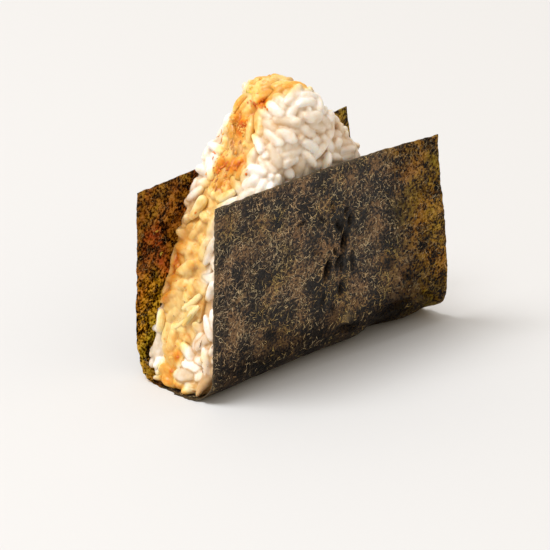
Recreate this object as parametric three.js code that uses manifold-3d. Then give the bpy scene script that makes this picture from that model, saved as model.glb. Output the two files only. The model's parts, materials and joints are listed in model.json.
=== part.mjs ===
// Onigiri: a triangular rice ball with a layer of filling through it, standing in a folded sheet of nori.
//
// Millimetres, +Z up. +X runs along the base of the triangle and +Y through its thickness, so the front
// wall of the nori faces -Y. The origin is on the resting plane, under the centre of the bounding box.
//
// Four solids: the nori sheet, the front slab of rice, the layer of filling and the back slab of rice.

import * as THREE from "three";
import { mergeVertices } from "three/addons/utils/BufferGeometryUtils.js";
import Module from "manifold-3d";

const wasm = await Module();
wasm.setup();

// ---- Driving dimensions ----

// The nori is half of a standard sheet, 95 mm wide along X, folded up round the base of the rice.
const SHEET_WIDTH = 95;
const SHEET_THICKNESS = 0.5;
const CUT_SLANT = 2.5; // how far the front wall's upper right corner is cut back
const CUT_FROM_Z = 20; // where that slant starts

// The fold at three places along X: the left end, the middle and the right end. Its right end, where no
// rice fills it, springs open. All are of the outer face, in Y and Z.
const FOLD = {
  frontTopY: [-20.0, -20.0, -20.2],
  frontTopZ: [64.7, 64.9, 62.9],
  frontFootY: [-18.3, -19.4, -21.0],
  frontBulge: [0.0, 0.3, 0.6],
  frontRadius: [9, 12, 15],
  backRadius: [10, 11, 12],
  backFootY: [15.9, 16.0, 16.5],
  backTopY: [14.8, 18.0, 22.0],
  backTopZ: [59.5, 59.5, 59.3],
};

// The rice ball's outline is three corner arcs, anticlockwise from the lower left as seen from the
// front, joined by long shallow arcs. Each side's radius goes with the corner that it starts from.
const CORNERS = [
  { x: -44.0, z: 3.8, radius: 2.9, sideRadius: 5000 },
  { x: 38.0, z: 7.4, radius: 6.5, sideRadius: 350 },
  { x: -3.4, z: 80.2, radius: 9.6, sideRadius: 195 },
];
const BODY_CENTRE = { x: -1.5, z: 36 };
const RICE_FRONT_Y = -17.2;
const RICE_BACK_Y = 13.9;

// How round the edges between the rim and the two faces are: along the base, where the fold of the nori
// presses them, up the sides, and over the top, which is nearly a dome.
const BASE_ROUND = 10.0;
const BASE_ROUND_TO_Z = 18;
const SIDE_ROUND = 3.5;
const TOP_ROUND = 12.0;
const TOP_ROUND_FROM_Z = 62;

// The filling lies between two surfaces that wander forwards and back with height, as it was spread by
// hand. Each has its middle place in Y, its swing, the height at X = 0 of a foremost or rearmost place,
// and the distance between two such places. The layers stay a small gap apart.
const FILLING_FRONT = { y: -3.0, swing: -2.5, peakZ: 34.5, period: 39 };
const FILLING_BACK = { y: 7.0, swing: 2.5, peakZ: 42, period: 58 };
const FILLING_SLANT = 0.25; // how much those heights rise along X
const LAYER_GAP = 0.3;

// Pressing leaves the ball's surface uneven: three crossed waves, each with its direction and phase.
const HOLLOW_DEPTH = 0.8;
const HOLLOW_SPACING = 17.0;
const HOLLOW_WAVES = [
  { direction: [1.0, 0.0, 0.4], phase: 1.3 },
  { direction: [-0.3, 1.0, 0.5], phase: 4.1 },
  { direction: [-0.5, -0.4, 0.9], phase: 2.2 },
];

// The ball's core, a stretch of its middle that each hollow is pressed towards.
const CORE_LOW = new THREE.Vector3(-13.5, -1.65, 20);
const CORE_HIGH = new THREE.Vector3(10.5, -1.65, 50);

// How finely the curved shapes are divided.
const CORNER_STEPS = 6;
const SIDE_STEPS = 14;
const ROUND_STEPS = 4;
const RIM_STEPS = 4;
const FACE_STEPS = 6;
const FOLD_STEPS = 16;
const WALL_STEPS = 8;
const BEND_STEPS = 7;
const LAYER_STEPS = 18;
const SLAB_SIZE = 100; // of the blocks that cut the layers, wider and taller than the ball

const { lerp, smoothstep, euclideanModulo } = THREE.MathUtils;

// ---- Helpers ----

// The value of a fold dimension at u, from 0 at the left end to 1 at the right: a smooth curve through
// its three stations.
function along([left, middle, right], u) {
  return left * (1 - u) * (1 - 2 * u) + 4 * middle * u * (1 - u) + right * u * (2 * u - 1);
}

// Numbers from 0 to 1 in equal steps, both ends included.
function steps(count) {
  return Array.from({ length: count + 1 }, (_, i) => i / count);
}

// A closed geometry from rings of equal length. Each ring is joined to the next, and closeEnd gives the
// faces that fill the first ring; those of the last are the same ones, turned over.
function loft(rings, closeEnd) {
  const size = rings[0].length;
  const points = rings.flat();
  const faces = [];
  for (let r = 0; r + 1 < rings.length; r++) {
    for (let k = 0; k < size; k++) {
      const [a, b] = [r * size + k, r * size + ((k + 1) % size)];
      faces.push([a, b + size, b], [a, a + size, b + size]);
    }
  }
  faces.push(...closeEnd(points, 0, size));
  const lastEnd = closeEnd(points, (rings.length - 1) * size, size);
  faces.push(...lastEnd.map(([a, b, c]) => [a, c, b]));
  return new THREE.BufferGeometry().setFromPoints(points).setIndex(faces.flat());
}

// The faces of a fan about the middle of the ring that starts at a point's number.
function fan(points, start, size) {
  const sum = new THREE.Vector3();
  points.slice(start, start + size).forEach((p) => sum.add(p));
  const middle = points.push(sum.divideScalar(size)) - 1;
  return Array.from({ length: size }, (_, k) => [middle, start + k, start + ((k + 1) % size)]);
}

// The faces across a ring that is two strips back to back.
function strip(points, start, size) {
  const faces = [];
  for (let k = 0; k + 1 < size / 2; k++) {
    const [a, b] = [start + k, start + k + 1];
    const [c, d] = [start + size - 2 - k, start + size - 1 - k];
    faces.push([a, b, c], [a, c, d]);
  }
  return faces;
}

// A closed geometry as a manifold-3d solid, and such a solid as a geometry.
function toSolid(geometry) {
  const bare = geometry.clone();
  bare.deleteAttribute("normal");
  bare.deleteAttribute("uv");
  const merged = mergeVertices(bare, 1e-4);
  return new wasm.Manifold(
    new wasm.Mesh({
      numProp: 3,
      vertProperties: merged.attributes.position.array,
      triVerts: new Uint32Array(merged.index.array),
    }),
  );
}

function toGeometry(solid) {
  const { vertProperties, triVerts } = solid.getMesh();
  const geometry = new THREE.BufferGeometry()
    .setAttribute("position", new THREE.BufferAttribute(vertProperties, 3))
    .setIndex(new THREE.BufferAttribute(triVerts, 1));
  geometry.computeVertexNormals();
  return geometry;
}

// ---- The nori sheet ----

// The outer face of the fold at u, from the top of the front wall, under the rice, to the top of the
// back wall: a list of points, each with its inward normal.
function foldProfile(u) {
  const at = Object.fromEntries(Object.entries(FOLD).map(([name, f]) => [name, along(f, u)]));
  const frontTop = new THREE.Vector2(at.frontTopY, at.frontTopZ);
  const frontFoot = new THREE.Vector2(at.frontFootY, at.frontRadius);
  const frontBend = at.frontFootY + at.frontRadius;
  const backBend = at.backFootY - at.backRadius;
  const backFoot = new THREE.Vector2(at.backFootY, at.backRadius);
  const backTop = new THREE.Vector2(at.backTopY, at.backTopZ);
  const bulge = frontTop.clone().lerp(frontFoot, 0.5);
  bulge.x -= 2 * at.frontBulge;
  const stretches = [
    [new THREE.QuadraticBezierCurve(frontTop, bulge, frontFoot), WALL_STEPS],
    [bend(frontBend, at.frontRadius, Math.PI), BEND_STEPS],
    [new THREE.LineCurve(new THREE.Vector2(frontBend, 0), new THREE.Vector2(backBend, 0)), 2],
    [bend(backBend, at.backRadius, 1.5 * Math.PI), BEND_STEPS],
    [new THREE.LineCurve(backFoot, backTop), WALL_STEPS],
  ];
  return stretches.flatMap(([curve, count], i) =>
    steps(count)
      .slice(i ? 1 : 0)
      .map((t) => {
        const [point, tangent] = [curve.getPoint(t), curve.getTangent(t)];
        return { y: point.x, z: point.y, inY: -tangent.y, inZ: tangent.x };
      }),
  );
}

// A quarter turn of the fold, anticlockwise from the angle given.
function bend(centreY, radius, fromAngle) {
  const toAngle = fromAngle + Math.PI / 2;
  return new THREE.EllipseCurve(centreY, radius, radius, radius, fromAngle, toAngle, false);
}

// The sheet's outer and inner faces, joined round its four edges. Each ring is one section of the fold,
// from its right end to its left.
function noriGeometry() {
  const rings = steps(FOLD_STEPS).map((t) => {
    const u = 1 - t;
    const outer = foldProfile(u);
    const place = (p, depth) => {
      const upFront = p.y < 0 ? smoothstep(p.z, CUT_FROM_Z, FOLD.frontTopZ[1]) : 0;
      const slant = CUT_SLANT * upFront * smoothstep(u, 0.5, 1);
      return new THREE.Vector3(
        SHEET_WIDTH * (u - 0.5) - slant,
        p.y + p.inY * depth,
        p.z + p.inZ * depth,
      );
    };
    const outside = outer.map((p) => place(p, 0));
    const inside = outer.map((p) => place(p, SHEET_THICKNESS));
    return [...outside, ...inside.reverse()];
  });
  return loft(rings, strip);
}

// ---- The rice ball ----

// The centre of the long arc that touches two corner arcs from inside.
function sideCentre(from, to) {
  const span = new THREE.Vector2(to.x - from.x, to.z - from.z);
  const length = span.length();
  const [a, b] = [from.sideRadius - from.radius, from.sideRadius - to.radius];
  const alongSpan = (a * a - b * b + length * length) / (2 * length);
  const across = Math.sqrt(a * a - alongSpan * alongSpan);
  const unit = span.divideScalar(length);
  return new THREE.Vector2(
    from.x + unit.x * alongSpan - unit.y * across,
    from.z + unit.y * alongSpan + unit.x * across,
  );
}

// The rice ball's outline: points in X and Z, each with its outward normal, from corner to corner.
function ballOutline() {
  const count = CORNERS.length;
  const centres = CORNERS.map((corner, i) => sideCentre(corner, CORNERS[(i + 1) % count]));
  const angleAt = (corner, centre) => Math.atan2(corner.z - centre.y, corner.x - centre.x);
  const points = [];
  const arc = (x, z, radius, from, to, ts) => {
    const sweep = euclideanModulo(to - from, 2 * Math.PI);
    for (const t of ts) {
      const [c, s] = [Math.cos(from + sweep * t), Math.sin(from + sweep * t)];
      points.push({ x: x + radius * c, z: z + radius * s, nx: c, nz: s });
    }
  };
  CORNERS.forEach((corner, i) => {
    const [before, after] = [centres[(i + count - 1) % count], centres[i]];
    const next = CORNERS[(i + 1) % count];
    const [from, to] = [angleAt(corner, before), angleAt(corner, after)];
    arc(corner.x, corner.z, corner.radius, from, to, steps(CORNER_STEPS));
    const inner = steps(SIDE_STEPS).slice(1, -1);
    arc(after.x, after.y, corner.sideRadius, to, angleAt(next, after), inner);
  });
  return points;
}

// The radius of the edge between the rim and a face, at a point of the outline.
function edgeRound(point) {
  const side = lerp(BASE_ROUND, SIDE_ROUND, smoothstep(point.z, 0, BASE_ROUND_TO_Z));
  const topZ = CORNERS[2].z + CORNERS[2].radius;
  return lerp(side, TOP_ROUND, smoothstep(point.z, TOP_ROUND_FROM_Z, topZ));
}

// The whole ball: rings from the middle of the front face, over the rim, to the middle of the back face.
function ballGeometry() {
  const outline = ballOutline();
  const rings = [];
  // A ring drawn in from the outline by a distance, at a value of Y, both taken at each of its points.
  const addRing = (drawnIn, yAt) => {
    rings.push(
      outline.map((p) => {
        const reach = (p.x - BODY_CENTRE.x) * p.nx + (p.z - BODY_CENTRE.z) * p.nz;
        const share = 1 - drawnIn(p, reach) / reach;
        return new THREE.Vector3(
          BODY_CENTRE.x + (p.x - BODY_CENTRE.x) * share,
          yAt(p),
          BODY_CENTRE.z + (p.z - BODY_CENTRE.z) * share,
        );
      }),
    );
  };
  const addFace = (y, inward, order) => {
    const made = [];
    for (const t of steps(FACE_STEPS).slice(1, -1)) {
      made.push([(p, reach) => lerp(reach, edgeRound(p), t), () => y]);
    }
    for (const t of steps(ROUND_STEPS)) {
      const angle = (t * Math.PI) / 2;
      made.push([
        (p) => edgeRound(p) * (1 - Math.sin(angle)),
        (p) => y + inward * edgeRound(p) * (1 - Math.cos(angle)),
      ]);
    }
    order(made).forEach((ring) => addRing(...ring));
  };
  addFace(RICE_FRONT_Y, 1, (made) => made);
  for (const t of steps(RIM_STEPS).slice(1, -1)) {
    addRing(
      () => 0,
      (p) => lerp(RICE_FRONT_Y + edgeRound(p), RICE_BACK_Y - edgeRound(p), t),
    );
  }
  addFace(RICE_BACK_Y, -1, (made) => made.reverse());
  return loft(rings.map((ring) => ring.map(pressIn)), fan);
}

// A point of the ball, pressed towards its core by the depth of the hollow there.
function pressIn(point) {
  const waves = HOLLOW_WAVES.map(({ direction, phase }) => {
    const along = point.dot(new THREE.Vector3(...direction));
    return Math.sin((2 * Math.PI * along) / HOLLOW_SPACING + phase);
  });
  const share = waves.reduce((sum, wave) => sum + (1 + wave) / 2, 0) / waves.length;
  const inward = point.clone().clamp(CORE_LOW, CORE_HIGH).sub(point).normalize();
  return point.clone().addScaledVector(inward, HOLLOW_DEPTH * share);
}

// One face of the filling, at a point of the X-Z plane.
function fillingFace({ y, swing, peakZ, period }, x, z) {
  return y + swing * Math.cos((2 * Math.PI * (z - FILLING_SLANT * x - peakZ)) / period);
}

// A slab wider and taller than the ball, between two surfaces given as Y for a point of the X-Z plane.
function slab(frontY, backY) {
  const block = new THREE.BoxGeometry(SLAB_SIZE, 1, SLAB_SIZE, LAYER_STEPS, 1, LAYER_STEPS);
  block.translate(0, 0, 0.46 * SLAB_SIZE);
  const position = block.attributes.position;
  for (let i = 0; i < position.count; i++) {
    const faceY = position.getY(i) < 0 ? frontY : backY;
    position.setY(i, faceY(position.getX(i), position.getZ(i)));
  }
  return toSolid(block);
}

// All that lies in front of the filling, and all that lies behind it, both drawn back from it by a gap.
function beforeFilling(gap) {
  return slab(
    () => RICE_FRONT_Y - 1,
    (x, z) => fillingFace(FILLING_FRONT, x, z) - gap,
  );
}

function behindFilling(gap) {
  return slab(
    (x, z) => fillingFace(FILLING_BACK, x, z) + gap,
    () => RICE_BACK_Y + 1,
  );
}

// ---- Finishes ----

const RICE = new THREE.MeshStandardMaterial({ color: 0xeee6da, roughness: 0.35, metalness: 0 });
const FILLING = new THREE.MeshStandardMaterial({ color: 0xf0b45a, roughness: 0.3, metalness: 0 });
const NORI = new THREE.MeshStandardMaterial({ color: 0x3a3226, roughness: 0.55, metalness: 0 });

// ---- Assembly ----

function piece(name, geometry, material) {
  const mesh = new THREE.Mesh(geometry, material);
  mesh.name = name;
  return mesh;
}

const ball = toSolid(ballGeometry());
const filling = ball.subtract(beforeFilling(0)).subtract(behindFilling(0));

const onigiri = new THREE.Group();
onigiri.add(
  piece("nori", noriGeometry(), NORI),
  piece("rice_front", toGeometry(ball.intersect(beforeFilling(LAYER_GAP))), RICE),
  piece("filling", toGeometry(filling), FILLING),
  piece("rice_back", toGeometry(ball.intersect(behindFilling(LAYER_GAP))), RICE),
);

// The origin goes under the centre of the bounding box.
const box = new THREE.Box3().setFromObject(onigiri);
const centre = box.getCenter(new THREE.Vector3());
onigiri.position.set(-centre.x, -centre.y, -box.min.z);

export default onigiri;
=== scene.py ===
# %% [markdown]
# # An onigiri, grain by grain
#
# An onigiri is cooked short-grain rice, pressed by hand into a thick triangle round a savoury filling,
# and wrapped in a sheet of nori, which is dried seaweed. Here the nori is folded under the base and
# stands open at both ends, so the rim of the ball shows the filling between two layers of white rice.
#
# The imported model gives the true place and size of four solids. This script keeps those places, and
# puts real grains, crumbs and a fibrous sheet where the solids are plain.

# %% Load the frame
import json
import math

import bmesh
import bpy
import numpy as np
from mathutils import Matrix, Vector, bvhtree, kdtree, noise

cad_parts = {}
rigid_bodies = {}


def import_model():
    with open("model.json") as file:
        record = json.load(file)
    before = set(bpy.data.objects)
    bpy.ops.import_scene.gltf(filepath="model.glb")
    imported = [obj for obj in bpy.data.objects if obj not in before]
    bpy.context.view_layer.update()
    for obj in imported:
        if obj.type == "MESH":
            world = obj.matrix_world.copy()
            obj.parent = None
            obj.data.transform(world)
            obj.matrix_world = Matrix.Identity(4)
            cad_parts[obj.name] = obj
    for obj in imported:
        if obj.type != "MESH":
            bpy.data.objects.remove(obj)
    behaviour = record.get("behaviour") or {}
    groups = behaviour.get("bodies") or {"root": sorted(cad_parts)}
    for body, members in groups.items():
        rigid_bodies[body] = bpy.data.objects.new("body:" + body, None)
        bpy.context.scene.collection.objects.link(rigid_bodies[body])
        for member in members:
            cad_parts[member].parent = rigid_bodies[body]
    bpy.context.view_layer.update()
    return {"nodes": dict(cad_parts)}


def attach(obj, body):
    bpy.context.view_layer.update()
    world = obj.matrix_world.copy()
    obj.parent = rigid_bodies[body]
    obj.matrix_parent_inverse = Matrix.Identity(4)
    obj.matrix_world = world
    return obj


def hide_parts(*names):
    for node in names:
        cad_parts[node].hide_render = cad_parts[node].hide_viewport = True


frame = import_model()
MM = 0.001
SHIFT_Y = -0.365  # from the sizes that the sheet and the layers are drawn with to the frame's middle
rng = np.random.default_rng(7)

# %% [markdown]
# ## Small tools
#
# Every shape below is an array of points in millimetres, because that is how one thinks about a grain
# of rice. One function turns such an array into a mesh in metres. Others give the soft steps and spots
# that most of the shapes and stains are made of.

# %% Meshes from arrays
def in_scene(name, data):
    """A new object that shows a mesh, a lamp or a camera."""
    made = bpy.data.objects.new(name, data)
    bpy.context.scene.collection.objects.link(made)
    return made


def add_fields(mesh, **fields):
    """Stores numbers, one for each point, that shaders read."""
    for field, values in fields.items():
        mesh.attributes.new(field, "FLOAT", "POINT").data.foreach_set("value", values.astype(np.float32))


def new_piece(name, points, quads, triangles=(), **fields):
    """A smooth mesh object. points are in mm; fields are numbers, one for each point, that shaders read."""
    triangles = np.asarray(triangles, dtype=int).reshape(-1, 3)
    corners = np.concatenate([quads.ravel(), triangles.ravel()])
    starts = np.concatenate([np.arange(len(quads)) * 4, quads.size + np.arange(len(triangles)) * 3])
    mesh = bpy.data.meshes.new(name)
    mesh.vertices.add(len(points))
    mesh.vertices.foreach_set("co", (points * MM).astype(np.float32).ravel())
    mesh.loops.add(len(corners))
    mesh.loops.foreach_set("vertex_index", corners.astype(np.int32))
    mesh.polygons.add(len(starts))
    mesh.polygons.foreach_set("loop_start", starts.astype(np.int32))
    mesh.update(calc_edges=True)
    mesh.shade_smooth()
    add_fields(mesh, **fields)
    return in_scene(name, mesh)


def belongs(piece, slot, material, *nodes):
    """The piece moves with the ball, takes the material as its finish and stands for these CAD solids. slot
    is not used.
    """
    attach(piece, "root")
    if nodes:
        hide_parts(*nodes)
    piece.data.materials.append(material)


def triangles_in(mesh):
    """How many triangles a mesh has, a quad being two."""
    return len(mesh.loops) - 2 * len(mesh.polygons)


# %% Soft steps and spots
def ramp(values, low, high):
    """Rises evenly from 0 at low to 1 at high. Where low is the larger, it falls."""
    return np.clip((values - low) / (high - low), 0, 1)


def smooth_step(values, low, high):
    """The same with soft ends."""
    share = ramp(values, low, high)
    return share * share * (3 - 2 * share)


def spot(*offsets):
    """1 at a place, fading round it. Each offset is the way from that place over the spot's size."""
    return np.exp(-sum(offset**2 for offset in offsets))


def cloud(points, size, seed=0):
    """Smooth noise from about -1 to 1 whose patches are size mm across."""
    flat = points.reshape(-1, 3) / size + seed * 17.3
    return np.array([noise.noise(p) for p in flat]).reshape(points.shape[:-1])


# %% [markdown]
# A finish is a tree of shader nodes. One function adds a node with its settings and links and gives
# back the output that the next node needs, so a finish reads as a list of steps. The hex colours of a
# paint chart are sRGB, and a shader wants linear numbers. A pattern's scale comes from the size in
# millimetres that its patches have on the real thing.

# %% Colours and shader nodes
def linear(hex_colour):
    """An sRGB hex colour as linear numbers, with full cover."""
    parts = [int(hex_colour[i : i + 2], 16) / 255 for i in (1, 3, 5)]
    return [c / 12.92 if c <= 0.04045 else ((c + 0.055) / 1.055) ** 2.4 for c in parts] + [1.0]


def scale_of(size):
    """The scale of a pattern whose patches are size mm across."""
    return 1 / (size * MM)


def add(tree, kind, inputs=(), out=0, stops=(), **settings):
    """Adds a node and gives back one of its outputs. settings are its properties. inputs are values or other
    nodes' outputs, by the names of its sockets or in their order. stops are the places of a colour ramp,
    from 0 to 1, with their hex colours."""
    node = tree.nodes.new("ShaderNode" + kind)
    for name, value in settings.items():
        setattr(node, name, value)
    for name, value in inputs.items() if isinstance(inputs, dict) else enumerate(inputs):
        if isinstance(value, bpy.types.NodeSocket):
            tree.links.new(value, node.inputs[name])
        else:
            node.inputs[name].default_value = value
    for _ in stops[2:]:
        node.color_ramp.elements.new(1.0)
    for number, (place, colour) in enumerate(stops):
        node.color_ramp.elements[number].position = place
        node.color_ramp.elements[number].color = linear(colour)
    return None if out is None else node.outputs[out]


def material(name, *fields):
    """A new material, its tree, the place of each point, and the numbers that these fields hold."""
    made = bpy.data.materials.new(name)
    made.use_nodes = True
    tree = made.node_tree
    tree.nodes.clear()
    place = add(tree, "TexCoord", out="Object")
    numbers = [add(tree, "Attribute", out="Fac", attribute_name=field) for field in fields]
    return made, tree, place, *numbers


# Settings that several nodes share: a blend of two colours, and a colour multiplied by another.
BLEND = {"out": "Result", "data_type": "RGBA"}
TINT = {**BLEND, "blend_type": "MULTIPLY"}

# %% [markdown]
# ## The room that the grains fill
#
# A pressed ball has no skin: its surface is only where the grains stop. The grains could be laid out by
# scattering copies over a surface, but then they sink into one another like hairs. Instead they are
# poured into a room and pushed apart until they lie beside each other, which is what pressing does.
#
# The room is the convex hull of the three rice solids, held as flat planes. How deep a point lies is
# then the smallest of its distances to the planes.

# %% The ball's envelope
def hull(points):
    """The convex hull of some points as a bmesh."""
    body = bmesh.new()
    for point in points:
        body.verts.new(point)
    bmesh.ops.convex_hull(body, input=body.verts)
    bmesh.ops.delete(body, geom=[v for v in body.verts if not v.link_faces], context="VERTS")
    bmesh.ops.recalc_face_normals(body, faces=body.faces)
    return body


RICE_NODES = ("rice_front", "filling", "rice_back")
solid_points = np.array([v.co for name in RICE_NODES for v in frame["nodes"][name].data.vertices], float) / MM
shell = hull(np.unique(solid_points.round(3), axis=0))
ball_low, ball_high = solid_points.min(0), solid_points.max(0)
plane_normals = np.array([f.normal for f in shell.faces])
face_centres = np.array([f.calc_center_median() for f in shell.faces])
outwards = ((face_centres - (ball_low + ball_high) / 2) * plane_normals).sum(1, keepdims=True)
plane_normals *= np.sign(outwards)
plane_normals = np.unique(plane_normals.round(2), axis=0)
plane_normals /= np.linalg.norm(plane_normals, axis=1, keepdims=True)
plane_offsets = (solid_points @ plane_normals.T).max(0)


def depth_and_normal(points):
    """How deep each point lies inside the envelope, in mm, and the outward direction there."""
    gaps = plane_offsets - points @ plane_normals.T
    nearest = gaps.argmin(1)
    return gaps[np.arange(len(points)), nearest], plane_normals[nearest]


print("envelope of", len(plane_normals), "planes, from", ball_low.round(1), "to", ball_high.round(1), "mm")

# %% [markdown]
# ## Pouring the rice
#
# A cooked grain of short-grain rice is 7 to 8 mm long, near 4 mm wide and a little over 3 mm thick. For
# the pouring, each is a stiff row of four balls, because it is quick to see where balls overlap and which
# way to push them. Only an outer shell is filled, two grains deep, since no one sees further in. The
# number of grains follows from the volume of the shell.

# %% Sizes of the grains and of the shell
GRAIN_LENGTH, GRAIN_WIDTH, GRAIN_THICKNESS = 7.7, 4.1, 3.3
BLUNT_ENDS = 1.15  # how much more room a blunt grain takes than an ellipsoid
BALL_RADIUS = 1.75
SHELL_DEPTH = 5.0
SHELL_FILL = 1.45  # more than 1, because the grains press into one another
STICKING = 0.80  # how near two balls may come, as a share of touching: cooked grains stick and dent
SAMPLES, LEAST_DEPTH = 60000, 1.0

sample = rng.uniform(ball_low, ball_high, (SAMPLES, 3))
sample_depth, _ = depth_and_normal(sample)
in_shell = sample[(sample_depth > LEAST_DEPTH) & (sample_depth < SHELL_DEPTH)]
shell_volume = (ball_high - ball_low).prod() * len(in_shell) / SAMPLES
grain_volume = math.pi / 6 * GRAIN_LENGTH * GRAIN_WIDTH * GRAIN_THICKNESS * BLUNT_ENDS
GRAINS = int(SHELL_FILL * shell_volume / grain_volume)
print(f"shell {shell_volume / 1000:.0f} cm3, {GRAINS} grains of {grain_volume:.0f} mm3")

# %% Start places and directions
centres = in_shell[:GRAINS].copy()
_, outward = depth_and_normal(centres)
axes = rng.normal(size=(GRAINS, 3))
axes -= 0.7 * (axes * outward).sum(1, keepdims=True) * outward  # pressing lays most grains flat
axes /= np.linalg.norm(axes, axis=1, keepdims=True)
lengths = GRAIN_LENGTH * rng.normal(1.0, 0.10, GRAINS).clip(0.75, 1.2)
widths = rng.normal(1.0, 0.08, GRAINS).clip(0.8, 1.2)
insets = rng.uniform(0.0, 1.0, GRAINS) ** 2 * 1.4 - 0.5  # how far under the surface each one is held
kind = rng.random(GRAINS)
insets[kind < 0.05] = -1.2  # one in twenty stands well out
insets[kind > 0.78] += 1.3  # and one in five lies deeper


# %% Finding near neighbours
def close_pairs(points, reach):
    """The pairs of points that are nearer than reach, give or take, found with a grid of cells."""
    cell = np.floor(points / reach).astype(int)
    cell -= cell.min(0) - 1
    size = cell.max(0) + 2
    key = (cell[:, 0] * size[1] + cell[:, 1]) * size[2] + cell[:, 2]
    order = key.argsort(kind="stable")
    key = key[order]
    here = np.arange(len(points))
    firsts, seconds = [], []
    steps = [(i, j, k) for i in (-1, 0, 1) for j in (-1, 0, 1) for k in (-1, 0, 1)]
    for i, j, k in steps[13:]:  # half of the cells around, so each pair is found once
        there = key + (i * size[1] + j) * size[2] + k
        low = np.searchsorted(key, there, "left") if (i, j, k) != (0, 0, 0) else here + 1
        count = np.searchsorted(key, there, "right") - low
        first = np.repeat(here, count)
        start = np.repeat(low - (count.cumsum() - count), count)
        firsts.append(order[first])
        seconds.append(order[start + np.arange(len(first))])
    first, second = np.concatenate(firsts), np.concatenate(seconds)
    near = np.linalg.norm(points[first] - points[second], axis=1) < reach
    return first[near], second[near]


# %% Push the grains apart
BALL_MIDDLE = np.array([-2.0, (ball_low[1] + ball_high[1]) / 2, 29.0])
HALF_SIZE = (ball_high - ball_low) / 2
ROUNDS = 60
SPREAD = np.array([-1.0, -0.34, 0.34, 1.0])  # where the four balls sit along half of the grain
APART, OUT_OF_THE_DEEP, RISE, TURN = 0.45, 0.8, 0.10, 0.7  # how much of each move is made in one round
ball_grain = np.repeat(np.arange(GRAINS), 4)
ball_size = np.tile([0.93, 1.0, 1.0, 0.9], GRAINS) * BALL_RADIUS * np.repeat(widths, 4)
ball_inset = np.repeat(insets, 4)

for _ in range(ROUNDS):
    half = (lengths / 2 - BALL_RADIUS)[:, None]
    arms = axes[:, None, :] * (half * SPREAD)[:, :, None]
    balls = (centres[:, None, :] + arms).reshape(-1, 3)
    first, second = close_pairs(balls, 2 * BALL_RADIUS * 1.1)
    other = ball_grain[first] != ball_grain[second]
    first, second = first[other], second[other]
    between = balls[second] - balls[first]
    distance = np.linalg.norm(between, axis=1, keepdims=True).clip(1e-6)
    overlap = (ball_size[first] + ball_size[second])[:, None] * STICKING - distance
    push = np.where(overlap > 0, overlap, 0) * between / distance / 2
    moves = np.zeros_like(balls)
    for k in range(3):
        moves[:, k] = np.bincount(second, push[:, k], len(balls)) - np.bincount(first, push[:, k], len(balls))
    depth, outward = depth_and_normal(balls)
    out_of_room = (ball_size + ball_inset - depth).clip(0)[:, None]
    too_deep = (depth - SHELL_DEPTH).clip(0)[:, None]
    rising = RISE * (depth[:, None] > ball_size[:, None])  # keeps the outside and its corners well filled
    away = (balls - BALL_MIDDLE) / HALF_SIZE
    away /= np.linalg.norm(away, axis=1, keepdims=True)
    moves = APART * moves + outward * (OUT_OF_THE_DEEP * too_deep - out_of_room) + rising * away
    moves = moves.reshape(GRAINS, 4, 3)
    centres += moves.mean(1)
    turning = np.cross(arms, moves).sum(1) / (arms**2).sum((1, 2))[:, None]
    axes += TURN * np.cross(turning, axes)
    axes /= np.linalg.norm(axes, axis=1, keepdims=True)
print(f"overlaps are {overlap.clip(0).mean():.2f} mm on average and {overlap.max():.2f} mm at most")

# %% [markdown]
# ## The shape of a grain
#
# A grain is a plump ellipsoid with blunt ends, a little bent and a little tapered, flatter than it is
# wide, with a notch at one end where its germ was milled off. One modelled grain could be copied, but
# copies show. So all grains are worked out at once: a table of angles gives the unit shape, and each
# grain then has its own sizes, bend and lumps.

# %% Points of every grain
AROUND, ALONG = 12, 9
angle = np.arange(AROUND) * 2 * math.pi / AROUND
ring = np.arange(1, ALONG) * math.pi / ALONG
unit_x = np.concatenate([[1.0], np.repeat(np.cos(ring), AROUND), [-1.0]])
unit_r = np.concatenate([[0.0], np.repeat(np.sin(ring) ** 0.70, AROUND), [0.0]])
unit_a = np.concatenate([[0.0], np.tile(angle, ALONG - 1), [0.0]])
POINTS_PER_GRAIN = len(unit_x)


def grain_points(centres, axes, flats, lengths, widths, lumpy=1.0, blunt=1.0):
    """The points of every grain as an array (grain, point, 3). flats is the way that each one's flat side
    faces. A small blunt makes rods."""
    count = len(centres)
    phase = rng.uniform(0, 2 * math.pi, (3, count, 1))
    taper = rng.normal(0, 0.12, (count, 1))
    bend = rng.normal(0, 0.35, (2, count, 1))
    germ = 0.35 * spot((unit_x - 0.8) / 0.22, np.sin(unit_a / 2) / 0.45)
    lumps = 0.045 * np.sin(2 * unit_a + 2.5 * unit_x + phase[0]) + 0.04 * np.sin(4.5 * unit_x + phase[1])
    lumps += 0.03 * np.sin(3 * unit_a - 3 * unit_x + phase[2])
    radius = unit_r**blunt * (1 + taper * unit_x + lumpy * lumps - germ) * widths[:, None]
    bow = unit_x**2 - 0.35
    x = unit_x * lengths[:, None] / 2
    y = radius * np.cos(unit_a) * GRAIN_WIDTH / 2 + bend[0] * bow
    z = radius * np.sin(unit_a) * GRAIN_THICKNESS / 2 + 0.5 * bend[1] * bow
    ways = ((x, axes), (y, np.cross(flats, axes)), (z, flats))
    return sum((far[:, :, None] * way[:, None] for far, way in ways), centres[:, None])


def grain_faces(count):
    """Quads along the grains and triangles at their ends, for this many grains."""
    k = np.arange(AROUND)
    after = (k + 1) % AROUND
    rows = np.arange(ALONG - 2)[:, None] * AROUND + 1
    quads = np.stack([rows + k, rows + AROUND + k, rows + AROUND + after, rows + after], -1).reshape(-1, 4)
    last = 1 + (ALONG - 2) * AROUND
    top = np.stack([np.zeros(AROUND, int), 1 + k, 1 + after], -1)
    end = np.stack([np.full(AROUND, POINTS_PER_GRAIN - 1), last + after, last + k], -1)
    starts = np.arange(count)[:, None, None] * POINTS_PER_GRAIN
    return (starts + quads).reshape(-1, 4), (starts + np.concatenate([top, end])).reshape(-1, 3)


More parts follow.
